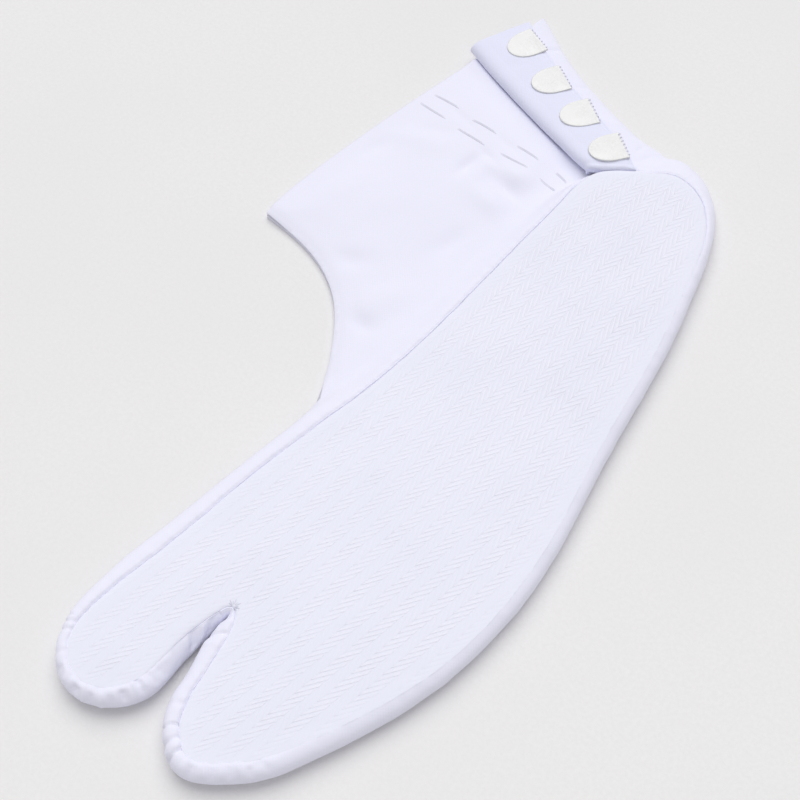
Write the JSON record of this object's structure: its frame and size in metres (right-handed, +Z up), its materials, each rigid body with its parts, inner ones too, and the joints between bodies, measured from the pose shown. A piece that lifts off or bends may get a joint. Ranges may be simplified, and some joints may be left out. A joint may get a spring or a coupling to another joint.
{
  "type": "tabi sock",
  "caption": "Split-toe ankle sock laid flat with its sole up: leg folded beside the foot, fastening flap turned back to show its rounded clasps.",
  "frame": {"origin": "centre of the laid-out sock's box in plan, on the surface it lies on", "axes": "+Y from the toes to the heel, +X from the big-toe side with the folded leg to the outer side of the foot, +Z up through the sole"},
  "size_m": [0.145, 0.2728, 0.0093],
  "materials": {
    "sole": "white herringbone cotton twill with a soft dry nap",
    "upper": "smooth white cotton broadcloth, matt with a faint sheen",
    "facing": "plain white cotton lining, matt",
    "clasp": "satin silver-white metal with a very fine grain"
  },
  "bodies": {
    "root": {"sole": "sole", "big_toe_upper": "upper", "four_toe_upper": "upper", "flap_facing": "facing", "clasp_1": "clasp", "clasp_2": "clasp", "clasp_3": "clasp", "clasp_4": "clasp"}
  },
  "joints": []
}
